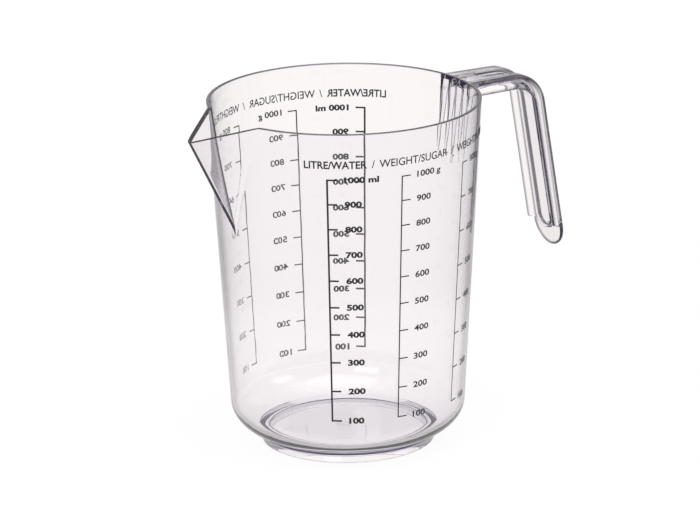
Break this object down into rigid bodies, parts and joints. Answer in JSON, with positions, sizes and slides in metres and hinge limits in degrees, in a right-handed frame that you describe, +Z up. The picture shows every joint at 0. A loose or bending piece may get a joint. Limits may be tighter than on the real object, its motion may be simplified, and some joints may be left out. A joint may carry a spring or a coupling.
{
  "type": "measuring jug",
  "caption": "Clear plastic measuring jug with a V spout, an open hook handle, a foot ring and black printed scales for litres, sugar and flour on both sides",
  "frame": {"origin": "on the axis of the jug, in the plane of the foot ring's lower face", "axes": "+Z up the jug, +X towards the handle, -X towards the spout, +Y to complete a right-handed frame"},
  "size_m": [0.1837, 0.1158, 0.1496],
  "materials": {
    "clear_plastic": "polished clear injection-moulded plastic with a faint lilac tint in thick edges",
    "black_ink": "screen-printed black ink"
  },
  "bodies": {
    "root": {"jug_body": "clear_plastic", "foot_ring": "clear_plastic", "handle": "clear_plastic", "litre_scale_front": "black_ink", "sugar_scale_front": "black_ink", "flour_scale_front": "black_ink", "heading_front": "black_ink", "litre_scale_back": "black_ink", "sugar_scale_back": "black_ink", "flour_scale_back": "black_ink", "heading_back": "black_ink"}
  },
  "joints": []
}
